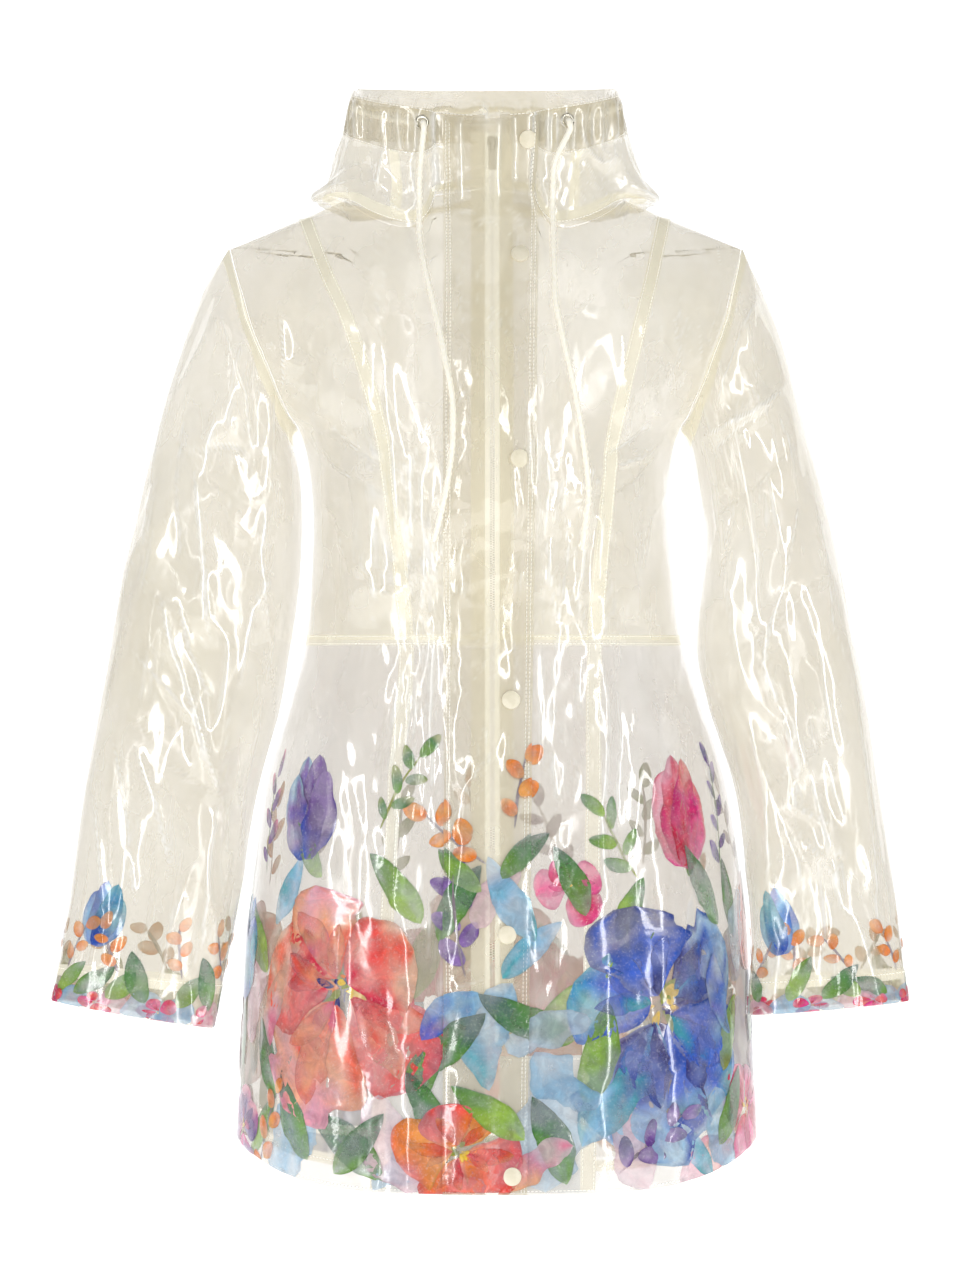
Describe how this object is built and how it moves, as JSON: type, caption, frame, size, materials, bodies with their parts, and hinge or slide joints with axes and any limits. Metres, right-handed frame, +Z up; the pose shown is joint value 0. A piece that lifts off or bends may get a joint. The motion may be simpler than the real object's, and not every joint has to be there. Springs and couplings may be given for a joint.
{
  "type": "hooded raincoat",
  "caption": "Thigh-length hooded raincoat of clear film with a zip, a snapped storm flap and a floral hem print, shaped as worn.",
  "frame": {"origin": "middle of the base of the neck, where the coat rests on the wearer's shoulders", "axes": "+Z up, the front faces -Y, and +X is towards the wearer's left"},
  "size_m": [0.7134, 0.303, 0.9226],
  "materials": {
    "film": "glossy, milky clear soft vinyl film",
    "print": "glossy film with a painted floral print",
    "tape": "soft woven binding and zip tape",
    "cord": "braided cord",
    "snap": "smooth cap",
    "metal": "plated, bright"
  },
  "bodies": {
    "coat": {"armhole_tape_left": "tape", "armhole_tape_right": "tape", "back_bodice_left": "film", "back_bodice_right": "film", "back_skirt_left": "print", "back_skirt_right": "print", "cuff_tape_left": "tape", "cuff_tape_right": "tape", "drawcord_left": "cord", "drawcord_right": "cord", "eyelet_left": "metal", "eyelet_right": "metal", "facing_tape_left": "tape", "facing_tape_right": "tape", "front_bodice_centre_left": "film", "front_bodice_centre_right": "film", "front_bodice_side_left": "film", "front_bodice_side_right": "film", "front_skirt_centre_left": "print", "front_skirt_centre_right": "print", "front_skirt_side_left": "print", "front_skirt_side_right": "print", "hem_facing_left": "print", "hem_facing_right": "print", "hem_tape": "tape", "hood_back_left": "film", "hood_back_right": "film", "hood_casing": "film", "hood_cord": "cord", "hood_front_left": "film", "hood_front_right": "film", "hood_tape_left": "tape", "hood_tape_right": "tape", "neck_tape": "tape", "princess_tape_bodice_left": "tape", "princess_tape_bodice_right": "tape", "princess_tape_skirt_left": "tape", "princess_tape_skirt_right": "tape", "sleeve_lower_back_left": "film", "sleeve_lower_back_right": "film", "sleeve_lower_front_left": "film", "sleeve_lower_front_right": "film", "sleeve_upper_back_left": "film", "sleeve_upper_back_right": "film", "sleeve_upper_front_left": "film", "sleeve_upper_front_right": "film", "snap_1": "snap", "snap_2": "snap", "snap_3": "snap", "snap_4": "snap", "snap_5": "snap", "snap_6": "snap", "storm_flap": "film", "waist_tape": "tape", "zip_slider": "metal", "zip_tape_left": "tape", "zip_tape_right": "tape", "zip_teeth": "tape"},
    "zip_pull": {"pull_tab": "metal"}
  },
  "joints": [
    {"name": "pull_swing", "type": "hinge", "parent": "coat", "child": "zip_pull", "pos_m": [0.00243, -0.05792, 0.04735], "axis": [1, 0, 0], "range_deg": [-8, 0]}
  ]
}
